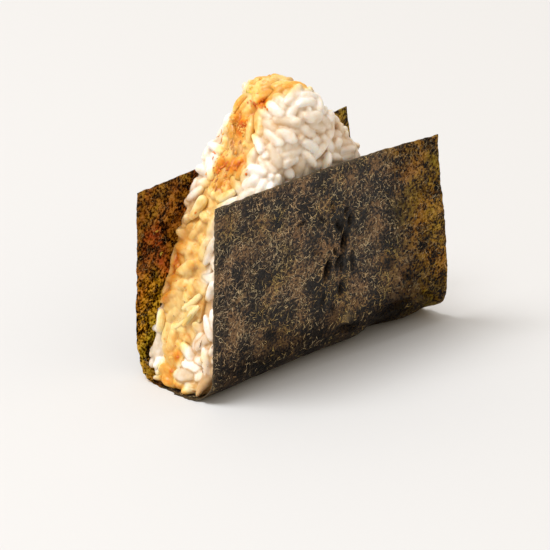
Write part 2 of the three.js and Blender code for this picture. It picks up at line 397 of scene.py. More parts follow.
# %% [markdown]
# A soft ball settles in its fold. Its weight spreads the lower left corner to the left and the back,
# where the nori leaves room, and a dent in the nori pushes some grains in and up. This is one bend of
# space that all grains go through, so they stay whole. None goes lower than the flat of the sheet, but
# nothing keeps them off its bends: behind the lower left corner, one grain comes through by 0.8 mm.

# %% Settle the ball
LOWEST_RICE = 0.35  # height of the lowest rice: the nori's thickness and a small gap
LONGER, SLIMMER = 1.03, 0.9  # a drawn grain against the room it was poured with, so gaps show


def pressed_down(points):
    """The points after the ball's weight has spread its lower left corner over the nori."""
    x, y, z = np.moveaxis(points, -1, 0)
    near = spot((x + 45) / 8)
    left = 2.7 * near * spot(z / 5.5)
    back = 1.7 * near * spot((z - 6) / 9) * ramp(y, 1, 9)
    down = 1.2 * near * spot(z / 8)
    dented = spot((x - 25) / 10, (y + 15) / 8, (z - 2) / 8)
    return np.stack([x - left, y + back + 0.9 * dented, (z - down).clip(LOWEST_RICE) + 1.4 * dented], -1)


_, outward = depth_and_normal(centres)
flats = outward + 0.5 * rng.normal(size=outward.shape)
flats -= (flats * axes).sum(1, keepdims=True) * axes
flats /= np.linalg.norm(flats, axis=1, keepdims=True)
points = pressed_down(grain_points(centres, axes, flats, LONGER * lengths, SLIMMER * widths))
rice_low, rice_high = points.min((0, 1)).round(1), points.max((0, 1)).round(1)
print("grains have", POINTS_PER_GRAIN, "points each and reach from", rice_low, "to", rice_high, "mm")

# %% [markdown]
# ## Where the filling shows
#
# The filling is rice mixed with seasoned shreds. Its oil and seasoning soak out of it, so the colour
# doesn't stop where the layer does: it fades over a couple of millimetres, in patches. The shader gets
# this as a number for each point: 0 is white rice, 0.8 is well soaked, and 1 is a pool of the red
# seasoning itself. An image wrapped round the ball could carry it, but a number worked out from the
# place needs no unwrapping and stays sharp close up.
#
# The layer's two faces are the same waves that the solids are cut with.

# %% The two faces of the filling
def filling_faces(points):
    """Y of the front and the back face of the filling beside each point, in mm."""
    height = points[..., 2] - 0.25 * points[..., 0]
    front = -3.0 - 2.5 * np.cos(2 * math.pi * (height - 34.5) / 39)
    back = 7.0 + 2.5 * np.cos(2 * math.pi * (height - 42.0) / 58)
    return front + SHIFT_Y, back + SHIFT_Y


SOAK_HEIGHTS = (0, 4, 9, 20, 30, 42, 50, 57, 62, 66, 69, 73, 79, 83, 86, 90)
SOAK_SHARES = (0.68, 0.64, 0.56, 0.43, 0.45, 0.52, 0.46, 0.4, 0.58, 0.55, 0.42, 0.66, 0.58, 0.44, 0.54, 0.58)
# Where red seasoning collected: place across the rim and height at the left side, radius and strength.
RED_POOLS = (
    (-2.0, 83.2, 1.5, 0.6), (-4.3, 83.4, 1.3, 0.6), (0.3, 82.0, 1.3, 0.4), (2.8, 75.6, 2.6, 0.35),
    (0.6, 76.8, 2.0, 0.3), (-1.1, 66.5, 2.0, 0.5), (1.9, 66.2, 1.5, 0.5), (3.6, 64.0, 1.6, 0.4),
    (-3.8, 67.2, 1.8, 0.35), (1.5, 60.5, 2.0, 0.2), (-0.3, 9.7, 1.2, 0.4), (0.1, 5.1, 0.8, 0.35),
    (5.1, 48.5, 1.5, 0.15), (7.0, 33.0, 1.8, 0.15), (-9.5, 3.0, 3.5, 0.3), (-11.5, 12.5, 2.0, 0.2),
)


def soak(points):
    """How much seasoning has soaked into the rice at each point."""
    x, y, z = np.moveaxis(points, -1, 0)
    front, back = filling_faces(points)
    front = front - 6.5 * ramp(z, 82, 87)  # it was spread right over the top
    front = front - 9.0 * ramp(z, 4.5, 0)  # and it ran along the base
    inside = np.minimum(y - front + 0.3, back + 1.2 - y) + 2.4 * cloud(points, 8.0, 1)
    share = (0.55 + inside / 3.0).clip(0, 1)
    patchy = 0.2 + 0.25 * ramp(z, 45, 60)
    patches = 1.0 + patchy * cloud(points, 6.0, 2) + 0.25 * cloud(points, 1.5, 3)
    amber_rim = ramp(z, 20, 25) * ramp(z, 54, 46) * ramp(y, 6, 9) * (x < -15)
    result = share * patches * np.interp(z, SOAK_HEIGHTS, SOAK_SHARES) + 0.3 * amber_rim
    for pool_y, pool_z, radius, strength in RED_POOLS:
        result = result + strength * spot((y - pool_y) / radius, (z - pool_z) / radius) * (x < 0)
    return result.clip(0, 1)


# %% Broth and painted shade in the white rice
# Places on the front rice that soaked up some broth: x, height, radius along X and along Z, strength.
BROTH_PATCHES = (
    (-15.2, 79.6, 4.5, 1.6, 1.7), (-12.2, 82.8, 3.0, 1.2, 1.0),
    (-16.8, 76.6, 3.2, 2.0, 1.1), (-9.0, 76.0, 3.0, 2.2, 1.1),
)


def low_front(points):
    """How near the white rice in front lies to the foot of the fold at the left end, from 0 to 1."""
    x, y, z = np.moveaxis(points, -1, 0)
    return ramp(z, 26, 4) * (y < -2) * (x < -20)


def broth_and_painted_shade(points):
    """How much broth and painted shade darken the rice, as the mm of depth that would look the same."""
    x, y, z = np.moveaxis(points, -1, 0)
    # Painted shade at the foot of the fold, more in its front corner, and on the right of the front, where
    # the rice lies in shade. A tan along the back of the left rim is added here too.
    front_corner = low_front(points) * ramp(y, -10, -14)
    back_rim = ramp(z, 19, 24) * ramp(z, 62, 54) * ramp(y, 5, 8) * (x < -15)
    front_right = ramp(x, 4, 20) * (y < -8)
    stained_and_shaded = 1.1 * low_front(points) + 2.2 * front_corner + 2.2 * back_rim + 1.1 * front_right
    for patch_x, patch_z, wide, high, strength in BROTH_PATCHES:
        stained_and_shaded = stained_and_shaded + strength * spot((x - patch_x) / wide, (z - patch_z) / high) * (y < 0)
    return (1.3 * cloud(points, 9.0, 6) + 0.7 * cloud(points, 4.0, 7)).clip(0, 2) + stained_and_shaded


# %% Sort the grains into the three layers
front, back = filling_faces(centres)
layer_of_grain = np.where(centres[:, 1] < front, 0, np.where(centres[:, 1] > back, 2, 1))
clearness_of_grain = rng.uniform(0, 1, GRAINS)
print("grains in the layers:", np.bincount(layer_of_grain, minlength=3))

# %% [markdown]
# ## Cooked rice
#
# Steamed rice is starch swollen with water: milky and slightly see-through, with a moist gloss. Light
# goes in, scatters and comes out a millimetre or two away, which softens every edge and warms the
# gaps. So the main settings are subsurface scattering of about that reach, and an IOR near water's.
# Some grains are clearer than others, and a grain is clearer at one end than at the other. Deep between
# the grains, light has passed through many of them and comes back straw-coloured; this is painted into
# the colour as a straw tint that grows with depth. The same tint shows broth, and paints the shade in
# the seams, at the foot of the fold and on the right of the front. The filling's mash is stringy, drawn
# out the way that it was spread.

# %% Material: steamed rice
def steamed_rice(name, stringy, relief):
    """stringy is how much of the mottling runs in strands, and relief how high the strands stand."""
    made, tree, place, clear, soaked_in, deep = material(name, "clearness", "soaked", "deep")
    milkiness = add(tree, "TexNoise", {"Vector": place, "Scale": scale_of(2.63), "Detail": 3.0})
    milky = add(tree, "Math", (milkiness, 1.8, -0.9), operation="MULTIPLY_ADD")
    clear_here = add(tree, "Math", (clear, milky), operation="ADD", use_clamp=True)
    whites = ((0.0, "#FBF8F5"), (0.5, "#F2ECE4"), (1.0, "#E0D4C2"))
    white = add(tree, "ValToRGB", {"Fac": clear_here}, stops=whites)
    # Painted shade and light: the deeper the skin lies, and the more broth and painted shade it is given, the
    # more straw its colour.
    gap_share = add(tree, "MapRange", {"Value": deep, "From Min": 0.9, "From Max": 3.5, "To Max": 0.8})
    in_gaps = add(tree, "Mix", {"Factor": gap_share, "A": white, "B": linear("#D0A870")}, **BLEND)

    speckle = add(tree, "TexNoise", {"Vector": place, "Scale": scale_of(1.43), "Detail": 3.0})
    turned = add(tree, "Mapping", {"Vector": place, "Rotation": (math.radians(45), 0.0, 0.0)})
    drawn_out = add(tree, "Mapping", {"Vector": turned, "Scale": (1.0, 1.0, 0.13)})
    strands = add(tree, "TexNoise", {"Vector": drawn_out, "Scale": scale_of(0.769), "Detail": 2.0})
    mottle = add(tree, "Mix", {"Factor": stringy, "A": speckle, "B": strands}, out="Result")
    uneven = add(tree, "Math", (mottle, 0.36, -0.18), operation="MULTIPLY_ADD")
    share = add(tree, "Math", (soaked_in, uneven), operation="ADD", use_clamp=True)
    yellows = ((0.0, "#FFFFFF"), (0.2, "#FFF5D4"), (0.4, "#FEE8A8"), (0.6, "#F6C668"))
    oranges = ((0.8, "#F0A02C"), (1.0, "#E0700F"))
    seasoning = add(tree, "ValToRGB", {"Fac": share}, stops=yellows + oranges)
    colour = add(tree, "Mix", {"Factor": 1.0, "A": in_gaps, "B": seasoning}, **TINT)

    wrinkles = add(tree, "TexNoise", {"Vector": place, "Scale": scale_of(0.909), "Detail": 2.0})
    height = add(tree, "Math", (strands, relief, wrinkles), operation="MULTIPLY_ADD")
    bump = add(tree, "Bump", {"Height": height, "Strength": 0.3, "Distance": 0.3 * MM})
    surface = {"Base Color": colour, "Roughness": 0.28, "IOR": 1.38, "Normal": bump, "Subsurface Weight": 1.0}
    scattering = {"Subsurface Radius": (1.0, 0.85, 0.7), "Subsurface Scale": 1.3 * MM}
    shader = add(tree, "BsdfPrincipled", {**surface, **scattering})
    add(tree, "OutputMaterial", {"Surface": shader}, out=None)
    return made


white_rice = steamed_rice("Steamed rice", 0.0, 0.0)
seasoned_rice = steamed_rice("Steamed rice soaked with seasoning", 0.6, 1.5)

# %% [markdown]
# ## Grains that stick together
#
# Cooked grains aren't loose stones: wet starch joins them where they touch, and light passes from one
# into the next. So the grains of a layer are welded to a core, a slab of the ball that starts a few
# millimetres below the surface. Blender's voxel remesher makes one skin over all of them, and a light
# smoothing rounds the seams. What is sealed inside is dropped, and flat stretches are thinned out, so
# the triangles go where the grains are. Each point of the skin then learns which grain it belongs to
# and how near it is to the seam with the next one.

# %% The core of one layer
INSCRIBED = 27.0  # radius of the largest circle that the triangle holds


def core_slab(low_y, high_y, core_depth):
    """The part of the ball deeper than core_depth mm and between two places along Y, as points and faces."""
    in_plane = 1 - core_depth / INSCRIBED
    shrink = np.array([in_plane, 1 - 2 * core_depth / (ball_high[1] - ball_low[1]), in_plane])
    slab = hull([BALL_MIDDLE + (np.array(v.co) - BALL_MIDDLE) * shrink for v in shell.verts])
    for y, side in ((low_y, -1), (high_y, 1)):
        cut = {"plane_co": (0, y, 0), "plane_no": (0, side, 0), "clear_outer": True}
        bmesh.ops.bisect_plane(slab, geom=slab.verts[:] + slab.edges[:] + slab.faces[:], **cut)
    closed = hull([v.co.copy() for v in slab.verts])
    closed.verts.index_update()
    points = np.array([v.co for v in closed.verts])
    faces = np.array([[v.index for v in f.verts] for f in closed.faces])
    slab.free()
    closed.free()
    return points, faces


# %% Reading meshes back
def reshaped(piece, **modifiers):
    """A piece's mesh after some modifiers. Each is named by its kind and gives its settings."""
    for kind, settings in modifiers.items():
        modifier = piece.modifiers.new(kind, kind)
        for name, value in settings.items():
            setattr(modifier, name, value)
    bpy.context.view_layer.update()
    mesh = bpy.data.meshes.new_from_object(piece.evaluated_get(bpy.context.evaluated_depsgraph_get()))
    bpy.data.objects.remove(piece)
    return mesh


def mesh_arrays(mesh, corners):
    """A mesh's points in mm, and its faces, which all have this many corners."""
    points = np.empty(len(mesh.vertices) * 3, np.float32)
    mesh.vertices.foreach_get("co", points)
    faces = np.empty(len(mesh.loops), np.int32)
    mesh.loops.foreach_get("vertex_index", faces)
    return points.reshape(-1, 3).astype(float) / MM, faces.reshape(-1, corners)


def largest_part(count, faces):
    """Which of a mesh's points belong to its largest connected part."""
    label = np.arange(count)
    here, there = faces.ravel(), np.roll(faces, 1, axis=1).ravel()
    while True:
        lowest = np.minimum(label[here], label[there])
        linked = label.copy()
        np.minimum.at(linked, here, lowest)
        np.minimum.at(linked, there, lowest)
        linked = linked[linked]
        if (linked == label).all():
            return label == np.bincount(label).argmax()
        label = linked


# %% Welding
VOXEL = 0.36  # mm, a tenth of a grain's width
MOST_TRIANGLES = 150000


def weld(name, points, quads, triangles, passes):
    """One skin over closed shapes, smoothed a few times. Returns a piece with at most MOST_TRIANGLES."""
    shapes = new_piece("shapes", points, quads, triangles)
    remesh = {"mode": "VOXEL", "voxel_size": VOXEL * MM}
    skin = reshaped(shapes, REMESH=remesh, SMOOTH={"factor": 0.5, "iterations": passes})
    points, faces = mesh_arrays(skin, 4)
    keep = largest_part(len(points), faces)
    renumbered = keep.cumsum() - 1
    outside = new_piece("outside", points[keep], renumbered[faces[keep[faces[:, 0]]]])
    ratio = min(1.0, MOST_TRIANGLES / triangles_in(outside.data))
    print(f"{name}: {len(faces) * 2} triangles, {triangles_in(outside.data)} without what is sealed inside")
    thinned = reshaped(outside, DECIMATE={"ratio": ratio})
    thinned.name = name
    thinned.shade_smooth()
    return in_scene(name, thinned)


# %% Which grain a point belongs to
SEAM_WIDTH = 0.55
ball_tree = kdtree.KDTree(len(balls))
for number, ball in enumerate(balls):
    ball_tree.insert(ball, number)
ball_tree.balance()


def nearest_grains(skin_points):
    """Each point's grain, and how near it lies to the seam with the next grain, from 0 to 1."""
    grain = np.zeros(len(skin_points), int)
    seam = np.zeros(len(skin_points))
    for k, point in enumerate(skin_points):
        found = ball_tree.find_n(point, 5)
        grain[k] = ball_grain[found[0][1]]
        for _, number, distance in found[1:]:
            if ball_grain[number] != grain[k]:
                seam[k] = 1 - (distance - found[0][2]) / SEAM_WIDTH
                break
    return grain, seam.clip(0, 1)


# %% Weld the three layers
# Each layer: piece, CAD node, slot, finish, where its slab lies along Y, its core's depth, its smoothing.
LAYERS = (
    ("grains_front", "rice_front", "rice", white_rice, (-99.0, -2.0), 2.1, 1),
    ("grains_filling", "filling", "filling", seasoned_rice, (-5.5, 9.5), 1.2, 6),
    ("grains_back", "rice_back", "rice", white_rice, (5.5, 99.0), 2.1, 1),
)
for number, (name, node, slot, finish, cuts, core_depth, passes) in enumerate(LAYERS):
    mine = layer_of_grain == number
    quads, triangles = grain_faces(mine.sum())
    mine_points = points[mine].reshape(-1, 3)
    core_points, core_faces = core_slab(*cuts, core_depth)
    triangles = np.concatenate([triangles, core_faces + len(mine_points)])
    piece = weld(name, np.concatenate([mine_points, core_points]), quads, triangles, passes)
    skin_points = np.array([v.co for v in piece.data.vertices]) / MM
    grain, seam = nearest_grains(skin_points)
    clearness = clearness_of_grain[grain]
    # Painted shade: the skin is tinted by its depth and by broth and shade, and more in the seams, which look
    # deeper than they are, most of all at the foot, where little light comes in; there the clearer grains are
    # tinted too.
    foot = low_front(skin_points)
    deep = depth_and_normal(skin_points)[0].clip(0, 4) + broth_and_painted_shade(skin_points)
    deep += (0.9 + 2.4 * foot) * seam + 0.8 * foot * (clearness > 0.6)
    soaked = 0.8 * soak(skin_points) + 0.2 * soak(centres)[grain]
    add_fields(piece.data, soaked=soaked, deep=deep, clearness=clearness)
    belongs(piece, slot, finish, node)
    print(name, mine.sum(), "grains in a skin of", triangles_in(piece.data), "triangles")

# %% [markdown]
# ## Bits of filling
#
# What gives the filling its taste shows as small things on the rim: red-orange and golden crumbs of
# pickled seasoning, thin brown shreds of dried fish, strips of pale egg, a few bits of leaf, and specks
# and hairs of dark seaweed that fell on the rice. They could be painted on, but each one catches the
# light at its edge, so each is a shape. It lies where a line from outside first meets the rice, and is
# pressed in a little.

# %% A way to lay things on the rice
skins = [bpy.data.objects[layer[0]] for layer in LAYERS]
trees = [bvhtree.BVHTree.FromObject(skin, bpy.context.evaluated_depsgraph_get()) for skin in skins]


def lay_on_rice(start, toward):
    """The first point of rice on the line from start, and the direction out of the ball there, in mm."""
    toward = Vector(toward).normalized()
    hits = [tree.ray_cast(Vector(start) * MM, toward) for tree in trees]
    hits = [(hit[3], hit[0]) for hit in hits if hit[0] is not None]
    if not hits:
        return None
    place = np.array(min(hits)[1]) / MM
    return place, depth_and_normal(place[None])[1][0]


def on_left_rim(*places):
    """The spots on the left rim at these places, each a y and a height."""
    return [lay_on_rice((-90, y, z), (1, 0, 0)) for y, z in places]


def heap_spots(heaps):
    """Places in heaps on the left rim. Each heap: its y and height, its spread both ways, how many."""
    spread = [heap[:4] for heap in heaps for _ in range(heap[4])]
    return on_left_rim(*[(y + rng.normal(0, wide), z + rng.normal(0, high)) for y, z, wide, high in spread])


def lie_along(spots, toward):
    """A direction in the surface at each spot, any way or mostly toward."""
    outward = np.array([spot[1] for spot in spots])
    lie = rng.normal(size=outward.shape)
    if toward is not None:
        lie = np.array(toward) + 0.12 * lie
    lie -= (lie * outward).sum(1, keepdims=True) * outward
    return lie / np.linalg.norm(lie, axis=1, keepdims=True), outward


# %% Crumbs and strips
def bits(name, spots, lengths, thickness, sink, slot, finish, toward=None, lumpy=3.0, blunt=1.0):
    """Small lumps at the spots, as one mesh. thickness and sink are shares of the length."""
    spots = [spot for spot in spots if spot is not None]
    count = len(spots)
    lengths = np.resize(np.asarray(lengths, float), count) * rng.uniform(0.8, 1.2, count)
    axes, outward = lie_along(spots, toward)
    places = np.array([spot[0] for spot in spots]) - outward * (sink * lengths)[:, None]
    widths = lengths * thickness / GRAIN_WIDTH
    lumps = grain_points(places, axes, outward, lengths, widths, lumpy, blunt)
    quads, triangles = grain_faces(count)
    shade = np.repeat(rng.uniform(0, 1, (count, 1)), POINTS_PER_GRAIN, 1)
    piece = new_piece(name, lumps.reshape(-1, 3), quads, triangles, shade=shade.ravel())
    belongs(piece, slot, finish)
    print(name, count)


# %% [markdown]
# A shred is a narrow strip, a little twisted and bent, so thin that its edges look like lines. It is
# drawn through seven stations, each with four corners.

# %% Shreds
def shreds(name, spots, lengths, width, slot, finish, toward):
    """Thin bent strips at the spots, as one mesh. toward is the way that most of them run."""
    spots = [spot for spot in spots if spot is not None]
    stations = np.linspace(-1, 1, 7)
    points, quads = [], []
    lies, outwards = lie_along(spots, toward)
    for (place, _), lie, outward, length in zip(spots, lies, outwards, np.resize(lengths, len(spots))):
        across = np.cross(outward, lie)
        bend, twist = rng.uniform(0.2, 0.6) * rng.choice([-1, 1]), rng.normal(0, 0.5)
        first = len(points)
        for t in stations:
            middle = place + lie * t * length / 2 + across * bend * t * t * length / 2
            middle = middle + outward * (0.05 + 0.2 * math.sin(3 * t + twist))
            half = width / 2 * (1.05 - 0.75 * t * t) * (1 + 0.15 * math.sin(5 * t + bend))
            side = across * math.cos(twist * t) + outward * math.sin(twist * t)
            thin = np.cross(side, lie) * 0.07
            points += [middle + side * half + thin, middle - side * half + thin]
            points += [middle - side * half - thin, middle + side * half - thin]
        for i in range(first, len(points) - 4, 4):
            quads += [[i + j, i + (j + 1) % 4, i + 4 + (j + 1) % 4, i + 4 + j] for j in range(4)]
        quads += [[first + 3, first + 2, first + 1, first], [len(points) - 4 + j for j in range(4)]]
    shade = np.repeat(rng.uniform(0, 1, len(spots)), 4 * len(stations))
    piece = new_piece(name, np.array(points), np.array(quads), shade=shade)
    belongs(piece, slot, finish)
    print(name, len(spots))


# %% [markdown]
# The crumbs are pickled and moist, a clear red-orange or gold that turns brown where they dry. The
# shreds are dried fish, matte and thin enough to let light through. Egg is pale and smooth, and dried
# seaweed nearly black. All of them are soft foods with a wet skin, so one finish serves, with its own
# two colours and gloss for each. Its mottling is half a millimetre across.

# %% Material: moist seasoning
def moist_bit(name, dry, fresh, roughness):
    """A soft moist food that is coloured from dry to fresh in patches."""
    made, tree, place, shade = material(name, "shade")
    mottle = add(tree, "TexNoise", {"Vector": place, "Scale": scale_of(0.5556), "Detail": 3.0})
    mixed = add(tree, "Math", (mottle, 0.5, shade), operation="MULTIPLY_ADD")
    colour = add(tree, "ValToRGB", {"Fac": mixed}, stops=((0.2, dry), (1.0, fresh)))
    bump = add(tree, "Bump", {"Height": mottle, "Strength": 0.5, "Distance": 0.2 * MM})
    surface = {"Base Color": colour, "Roughness": roughness, "Normal": bump, "Subsurface Weight": 0.6}
    scattering = {"Subsurface Radius": (1.0, 0.8, 0.6), "Subsurface Scale": 0.4 * MM}
    shader = add(tree, "BsdfPrincipled", {**surface, **scattering})
    add(tree, "OutputMaterial", {"Surface": shader}, out=None)
    return made


pickled = moist_bit("Pickled red-orange crumbs", "#C6580C", "#EE8C2E", 0.3)
golden = moist_bit("Golden seasoning crumbs", "#E0902A", "#F8C060", 0.35)
dark_specks = moist_bit("Dark seaweed specks", "#3E2A18", "#86623A", 0.5)
leafy = moist_bit("Yellow-green leaf bits", "#B89A24", "#DCC850", 0.4)
dried_fish = moist_bit("Dried fish shreds", "#B4763A", "#E8B474", 0.6)
egg = moist_bit("Pale yellow egg strips", "#FACB74", "#FEE6AE", 0.35)

# %% Red-orange crumbs
# A place is a y across the rim and a height, in mm, at the left side of the ball.
RED_PLACES = (
    (-2.1, 83.2), (-1.2, 82.8), (0.2, 82.4), (1.5, 82.1), (-1.1, 66.5), (0.4, 66.8), (1.9, 66.2),
    (-0.3, 65.2), (2.6, 64.9), (3.4, 63.3), (2.0, 63.6), (5.2, 51.5), (5.0, 46.3), (3.1, 43.1),
    (7.4, 34.6), (5.9, 30.9), (4.4, 37.5), (-0.3, 9.7), (0.1, 5.1), (1.6, 12.5), (-3.0, 3.4),
)
RED_LENGTHS = (2.0, 2.2, 1.5, 1.3, 2.0, 2.2, 1.8, 1.5, 2.0, 1.8, 1.3)
RED_LENGTHS += (1.1, 0.9, 0.8, 1.0, 0.9, 0.7, 1.8, 1.0, 0.7, 1.2)
RED_HEAPS = (
    (-1.8, 83.0, 2.0, 0.5, 26), (0.2, 66.2, 3.0, 0.9, 34),
    (3.5, 63.8, 1.2, 0.9, 8), (1.0, 60.6, 1.8, 0.8, 8),
)
bits("crumbs_red", on_left_rim(*RED_PLACES), RED_LENGTHS, 0.55, 0.18, "filling", pickled, lumpy=2.5)
bits("crumbs_orange", heap_spots(RED_HEAPS), (1.3, 0.9, 1.6, 1.1), 0.6, 0.2, "filling", pickled)

# %% Golden crumbs, in heaps and all round the rim
GOLD_HEAPS = (
    (2.4, 75.6, 2.6, 1.8, 60), (2.0, 70.2, 2.4, 1.0, 12),
    (1.5, 61.5, 2.4, 1.4, 14), (-0.8, 8.0, 2.0, 3.0, 10),
)
gold_spots = heap_spots(GOLD_HEAPS)
gold_spots += on_left_rim(*[(rng.uniform(-2, 7), rng.uniform(2, 86)) for _ in range(50)])
for _ in range(70):  # the rest of the rim, round the top and down the other side
    turn = rng.uniform(-0.3, 2.2)
    out = np.array([math.sin(turn), 0, math.cos(turn)])
    y = rng.uniform(-3, 7)
    gold_spots.append(lay_on_rice(np.array([-3.0, y, 40.0]) + out * 80, -out))
bits("crumbs_gold", gold_spots, (1.2, 0.9, 1.6, 0.7, 1.1), 0.6, 0.2, "filling", golden)

# %% Dark specks and bits of leaf
DARK_PLACES = (
    (-9.1, 16.4), (-9.0, 15.4), (-8.7, 17.3), (-13.3, 10.9), (-12.2, 9.8), (-11.5, 11.6), (-4.6, 42.0),
    (-6.4, 37.9), (-0.1, 73.7), (0.4, 74.2), (-2.5, 3.2), (-8.0, 2.8), (1.5, 26.0), (4.0, 21.0),
)
dark_spots = on_left_rim(*DARK_PLACES, *[(rng.uniform(-14, -3), rng.uniform(3, 80)) for _ in range(2)])
bits("specks_dark", dark_spots, (0.9, 0.6, 0.5, 0.7), 0.3, 0.1, "nori", dark_specks)
leaf_spots = on_left_rim((5.0, 84.9), (4.4, 86.2), (3.4, 85.2), (2.0, 70.0))
for x, z in ((-39.3, 44.6), (-37.6, 36.7)):  # two of them stick to the nori behind the ball
    leaf_spots.append((np.array([x, 14.6, z]), np.array([0.0, -1.0, 0.0])))
bits("leaf_bits", leaf_spots, (1.5, 1.2), 0.5, 0.1, "filling", leafy)

# %% Fish shreds, egg strips and seaweed hairs
fish_spots = heap_spots(((1.6, 70.2, 2.2, 1.3, 16), (2.0, 61.0, 1.8, 1.5, 5), (1.0, 40.0, 2.0, 14.0, 3)))
upright, slanting = (0.3, 0.1, 1.0), (0.2, -0.68, 0.7)
shreds("fish_shreds", fish_spots, (3.0, 2.2, 3.6, 1.8), 0.42, "filling", dried_fish, upright)
egg_spots = on_left_rim((-1.3, 26.4), (-3.1, 23.6), (1.0, 19.4), (-2.0, 21.8))
egg_shape = {"toward": slanting, "lumpy": 0.8, "blunt": 0.5}
bits("egg_strips", egg_spots, (9.4, 9.0, 6.4, 7.0), 0.24, -0.01, "filling", egg, **egg_shape)
hair_spots = on_left_rim((-9.4, 16.1), (-11.9, 8.4), (-13.9, 16.7), (-5.2, 42.2))
shreds("seaweed_shreds", hair_spots, (3.0, 2.6, 2.2), 0.2, "nori", dark_specks, (0.1, -0.3, 1.0))

# %% [markdown]
# ## Nori
#
# Nori is made like paper: chopped seaweed is poured on a mat and dried to a sheet 0.2 mm thick. Seen
# close, it is a felt of fine curled fibres over a nearly black ground, with thin places that glow
# olive when light comes from behind, and small dents and crinkles. Its cut edges are a little ragged.
#
# The sheet is drawn as a fine grid, bent to the same fold as the solid: two walls, two bends and a flat
# underside, with its own sizes at the left end, the middle and the right end. A cloth simulation would
# bend it too, but dried seaweed is stiff and keeps its creases, so the fold is simply drawn.

# %% Sizes of the fold, in mm
SHEET_WIDTH = 95.0
FOLD = {
    "front_top": ((-20.0, 64.7), (-20.0, 64.9), (-20.2, 62.9)),
    "front_foot": (-18.3, -19.4, -21.0),
    "front_radius": (9.0, 12.5, 15.0),
    "front_bulge": (0.0, 0.3, 0.6),
    "back_foot": (15.9, 16.0, 16.5),
    "back_radius": (12.0, 11.0, 12.0),
    "back_top": ((14.8, 59.5), (18.0, 59.5), (22.0, 59.3)),
}
CUT_SLANT = 2.5  # how far the right edge leans back at the top of the front
NORI_THICKNESS = 0.28  # a little more than the real 0.2, so that the two faces stay apart
SPREAD_FOOT = 2.0  # how far the two cut edges spread near the table
COLUMNS, ROWS = 171, 271  # of the grid, along X and round the fold


def along(name, u):
    """A size of the fold at u, from 0 at the left end to 1 at the right."""
    left, middle, right = (np.asarray(v, dtype=float) for v in FOLD[name])
    return left * (1 - u) * (1 - 2 * u) + 4 * middle * u * (1 - u) + right * u * (2 * u - 1)


# %% One section of the fold
def fold_section(u, count):
    """Points (y, z) of the outer face at u, evenly spaced from the front top to the back top."""
    front_top, back_top = along("front_top", u), along("back_top", u)
    sizes = ("front_foot", "front_radius", "front_bulge", "back_foot", "back_radius")
    front_y, front_radius, bulge_out, back_y, back_radius = [float(along(size, u)) for size in sizes]
    front_radius -= 3.0 * smooth_step(u, 0.93, 1.0)  # the free end is creased more sharply
    front_foot, back_foot = np.array([front_y, front_radius]), np.array([back_y, back_radius])
    bulge = (front_top + front_foot) / 2 - [2 * bulge_out, 0]
    t = np.linspace(0, 1, 40)[:, None]
    front_wall = (1 - t) ** 2 * front_top + 2 * t * (1 - t) * bulge + t**2 * front_foot
    turn = math.pi * (1 + t / 2)
    front_bend = front_foot + [front_radius, 0] + front_radius * np.hstack([np.cos(turn), np.sin(turn)])
    turn = math.pi * (1.5 + t / 2)
    back_bend = back_foot - [back_radius, 0] + back_radius * np.hstack([np.cos(turn), np.sin(turn)])
    back_wall = back_foot + t * (back_top - back_foot)
    path = np.vstack([front_wall, front_bend[1:], back_bend, back_wall[1:]])
    run = np.concatenate([[0], np.linalg.norm(np.diff(path, axis=0), axis=1).cumsum()])
    even_run = np.linspace(0, run[-1], count)
    return np.stack([np.interp(even_run, run, path[:, 0]), np.interp(even_run, run, path[:, 1])], 1), run[-1]


# %% The whole sheet as a grid
sections = [fold_section(u, ROWS) for u in np.linspace(0, 1, COLUMNS)]
sheet_length = sections[0][1]
grid = np.zeros((COLUMNS, ROWS, 3))
for i, (section, _) in enumerate(sections):
    u = i / (COLUMNS - 1)
    y, z = section.T
    # The front's right edge is cut at a slant, and both cut edges spread near the table.
    slant = CUT_SLANT * smooth_step(z, 20, 64.9) * (y < 0) * smooth_step(u, 0.5, 1)
    left_foot = (1 - smooth_step(z, -0.5, 8.0)) * (1 - smooth_step(u, 0, 0.25))
    left_foot = left_foot * (1 - 0.7 * smooth_step(-y, 8.0, 16.0))
    right_foot = (1 - smooth_step(z, 0, 60)) * smooth_step(u, 0.75, 1) * (y < 0)
    grid[i, :, 0] = SHEET_WIDTH * (u - 0.5) - slant + SPREAD_FOOT * (right_foot - left_foot)
    grid[i, :, 1:] = section
grid[:, :, 1] += SHIFT_Y
print(f"the sheet is {SHEET_WIDTH:.0f} mm by {sheet_length:.0f} to {sections[-1][1]:.0f} mm")


def grid_normals(grid):
    """The unit normal at each point of a grid, towards the rice."""
    normal = np.cross(np.gradient(grid, axis=0), np.gradient(grid, axis=1))
    return normal / np.linalg.norm(normal, axis=2, keepdims=True)


# %% [markdown]
# Handling leaves marks in so thin a sheet. All over it are soft waves and fine crinkles, which noise of
# four sizes gives. In the middle of the front it was pressed on, and there short sharp dents lie close
# together. Each is a stretched hollow with a low rim, and is listed. They are made in the flat
# sheet, so that they run on round the bends. The part that lies on the table stays flat.

# %% Crinkles and dents
flat = np.zeros_like(grid)
flat[:, :, 0] = grid[:, :, 0]
flat[:, :, 1] = np.linspace(0, sheet_length, ROWS)[None, :]
flat_x, flat_down = flat[:, :, 0], flat[:, :, 1]
